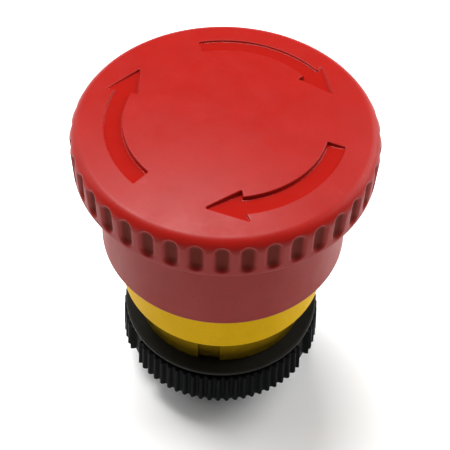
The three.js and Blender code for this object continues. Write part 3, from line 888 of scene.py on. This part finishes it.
def make_seals():
    gasket = [(11.2, 11.8, 0.1), (13.5, 11.8, 0.15), (13.5, 12.4, 0.1), (11.2, 12.4, 0.1)]
    obj = new_object("bezel_gasket", lathe(rounded(gasket), 160))
    add_piece(obj, "panel_gasket", "base", RUBBER)

    circle = [math.radians(a) for a in range(-90, 270, 15)]
    ring = [(11.55 + 0.42 * math.cos(a), 22.7 + 0.42 * math.sin(a)) for a in circle]
    add_piece(new_object("neck_o_ring", lathe(ring, 160)), "collar_o_ring", "base", RUBBER)

    lip = [(13.95, 31, 0.1), (15, 31, 0.15), (15.45, 31.3, 0.08), (15.45, 31.6, 0.1), (14.9, 32, 0.2),
           (13.95, 32, 0.1)]
    add_piece(new_object("wiper_seal", lathe(rounded(lip), 160)), "dust_seal", "base", RUBBER)


BOOT_WALL = 0.5


def make_boot():
    """Bellows: three folds between a foot on the bush and a lip round the stem."""
    bottom, top = low("seal_boot"), high("seal_boot")
    folds = [(8.6, 32.1), (6, 33.3), (8.2, 34.5), (5.7, 35.7), (7.8, 36.9), (5.3, 38.1)]
    foot = [(9.4, bottom, 0.1), (9.4, bottom + 0.75, 0.15)]
    outside = [*foot, *[(r, z, 0.35) for r, z in folds], (5, top, 0.15)]
    inside = [(r - BOOT_WALL - 0.3, z - 0.15, 0.25) for r, z in reversed(folds)]
    corners = [(7.6, bottom, 0.1), *outside, (4.05, top, 0.1), (4.05, 38.6, 0.1), *inside]
    obj = new_object("bellows", lathe(rounded(corners), 96), sharp=60)
    add_piece(obj, "seal_boot", "base", RUBBER)
    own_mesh(obj)


make_seals()
make_boot()


# ---- inside the housing ----

def make_bush():
    corners = [(4.05, 27.95, 0.2), (10.15, 27.95, 0.3), (10.15, 30.6, 0.1), (12.2, 30.6, 0.15),
               (12.2, 31.2, 0.15), (4.05, 31.2, 0.25)]
    obj = new_object("flanged_bush", lathe(rounded(corners), 128))
    add_piece(obj, "guide_bush", "base", NATURAL)


def make_latch_ring():
    bottom, top = low("latch_ring"), high("latch_ring")
    cone = [(7.15 + 0.2 * (12 - z), z, 0.12) for z in (bottom, top)]
    corners = [cone[0], (9, bottom, 0.15), (9, top, 0.2), cone[1]]
    obj = new_object("latch_cone", lathe(rounded(corners), 128))
    add_piece(obj, "latch_ring", "base", BRASS)
    clip = new_object("snap_ring", slab(open_ring(8.3, 9.5, math.radians(40)), 5.55, 6.15))
    add_piece(round_edges(clip, 0.1), "latch_snap_ring", "base", STEEL)


def make_return_spring():
    bottom, top, radius = 16.1, 26.4, 0.4
    path = helix(7.4, bottom + radius, top - radius, 6, closed_turns=1, wire_radius=radius)
    obj = new_object("return_coil", wire(path, radius))
    add_piece(obj, "return_spring", "base", STEEL)
    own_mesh(obj)


make_bush()
make_latch_ring()
make_return_spring()


# ---- plunger ----

def make_stem():
    corners = [(0, 13), (5, 13, 0.3), (5, 26.5, 0.4), (9.7, 26.5, 0.2), (9.7, 27.7, 0.2), (3.9, 27.7, 0.3),
               (3.9, 39.8, 0.1), (3.5, 39.8, 0.05), (3.5, 45.8, 0.05), (3.1, 45.8), (3.1, 46.6),
               (3.5, 46.6, 0.05), (3.5, 47.1, 0.3), (0, 47.1)]
    obj = new_object("stem_spindle", lathe(rounded(corners, closed=False), 96, closed=False))
    notches = [cuboid(a, 9, 11, 2.2, 25.5, 28.5) for a in (FRONT, -FRONT)]
    combine(obj, [*notches, rod(1.7, 12, 17.6)], "DIFFERENCE")
    add_piece(finish_shading(obj), "stem", "plunger", BLACK)


PIN_HEIGHT = 10.9


def laid_out(shell):
    """A shell along Z laid along +X at the latch pins' height."""
    return moved(shell, Matrix.Translation((0, 0, PIN_HEIGHT)) @ Matrix.Rotation(math.radians(90), 4, "Y"))


def make_carrier():
    corners = [(1.75, 8.2, 0.15), (6.3, 8.2, 0.4), (6.3, 12.8, 0.25), (1.75, 12.8, 0.15)]
    obj = new_object("carrier_block", lathe(rounded(corners), 96))
    hole = laid_out(rod(1.2, 2.4, 7.5))
    combine(obj, [hole, moved(hole, Matrix.Rotation(math.pi, 4, "Z"))], "DIFFERENCE")
    add_piece(finish_shading(obj), "latch_carrier", "plunger", ZINC)

    ring = [(3.1, 5.8, 0.15), (6, 5.8, 0.4), (6, 8, 0.15), (3.1, 8, 0.1)]
    pusher = new_object("pusher", lathe(rounded(ring), 96))
    add_piece(pusher, "pusher_ring", "plunger", NATURAL)

    seat = [(3.6, 39.9, 0.1), (6.2, 39.9, 0.15), (6.2, 41.1, 0.15), (3.6, 41.1, 0.1)]
    add_piece(new_object("hub_seat", lathe(rounded(seat), 96)), "thrust_washer", "plunger", BRASS)

    clip = new_object("stem_clip", slab(open_ring(3.2, 5.4, math.radians(70)), 45.9, 46.5))
    add_piece(round_edges(clip, 0.1), "retaining_clip", "plunger", STEEL)


def make_carrier_screw():
    shell = screw_shell(6.6, 17.4, 1.4, 2.7, 1.6, 0.9)
    obj = new_object("carrier_bolt", shell)
    angles = [math.radians(60 * i) for i in range(6)]
    hexagon = slab([(1.3 * math.cos(a), 1.3 * math.sin(a)) for a in angles], 5.6, 7.6)
    combine(obj, [hexagon], "DIFFERENCE")
    add_piece(finish_shading(obj), "carrier_screw", "plunger", STEEL)


def make_twist_spring():
    """A torsion spring whose ends turn with the plunger and with the hub."""
    bottom, top, radius = 41.3, 44.4, 0.32
    path = helix(5.2, bottom + radius, top - radius, 3.5, wire_radius=radius)
    obj = new_object("twist_coil", wire(path, radius, sides=10))
    add_piece(obj, "twist_spring", None, STEEL)
    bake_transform(obj)


def make_latch(side, turn):
    """A latch pin and its spring, on one side of the carrier."""
    place = Matrix.Rotation(turn, 4, "Z")
    pin = lathe(rounded([(0, 4.1), (1.1, 4.1, 0.15), (1.1, 7, 0.55), (0, 7)], closed=False, steps=6), 48,
                closed=False)
    pin_obj = new_object(f"pin_{side}", moved(laid_out(pin), place))
    add_piece(pin_obj, f"latch_pin_{side}", f"{side}_pin", STEEL)

    path = helix(0.8, 2.55, 3.95, 4.5, closed_turns=0.5, wire_radius=0.1, per_turn=20)
    spring = new_object(f"pin_coil_{side}", moved(laid_out(wire(path, 0.1, sides=8)), place))
    add_piece(spring, f"latch_spring_{side}", None, STEEL)
    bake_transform(spring)


make_stem()
make_carrier()
make_carrier_screw()
make_twist_spring()
make_latch("right", 0)
make_latch("left", math.pi)


# ---- stage and light ----

def add_floor():
    verts = [(x, y, 0) for x, y in ((-900, -900), (900, -900), (900, 900), (-900, 900))]
    floor = new_object("floor", (verts, [(0, 1, 2, 3)]))
    look = Look("pale_floor", Specular_IOR_Level=0.2)
    tint = look.mix(look.noise(60), (0.94, 0.94, 0.94), (0.97, 0.97, 0.96))
    floor.data.materials.append(look.done(tint))


def add_light(name, place, aim, size, power):
    data = bpy.data.lights.new(name, "AREA")
    data.shape = "RECTANGLE"
    data.size, data.size_y = size
    data.energy = power
    light = bpy.data.objects.new(name, data)
    place = Vector(place)
    turn = (Vector(aim) - place).to_track_quat("-Z", "Y").to_matrix().to_4x4()
    light.matrix_world = Matrix.Translation(place) @ turn
    bpy.context.scene.collection.objects.link(light)


def add_world():
    world = bpy.data.worlds.new("world")
    world.use_nodes = True
    background = world.node_tree.nodes["Background"]
    background.inputs["Color"].default_value = (1, 1, 1, 1)
    background.inputs["Strength"].default_value = 0.15
    bpy.context.scene.world = world


add_floor()
add_world()
add_light("overhead", (-0.25, 0.34, 1.1), (-0.25, 0.34, 0), (0.75, 0.3), 20.6)
add_light("left", (-0.55, 0.3, 0.4), (0, 0, 0.04), (0.6, 0.6), 2.8)
add_light("right", (0.55, 0.3, 0.4), (0, 0, 0.04), (0.6, 0.6), 5.7)
bpy.context.scene.view_settings.view_transform = "Standard"
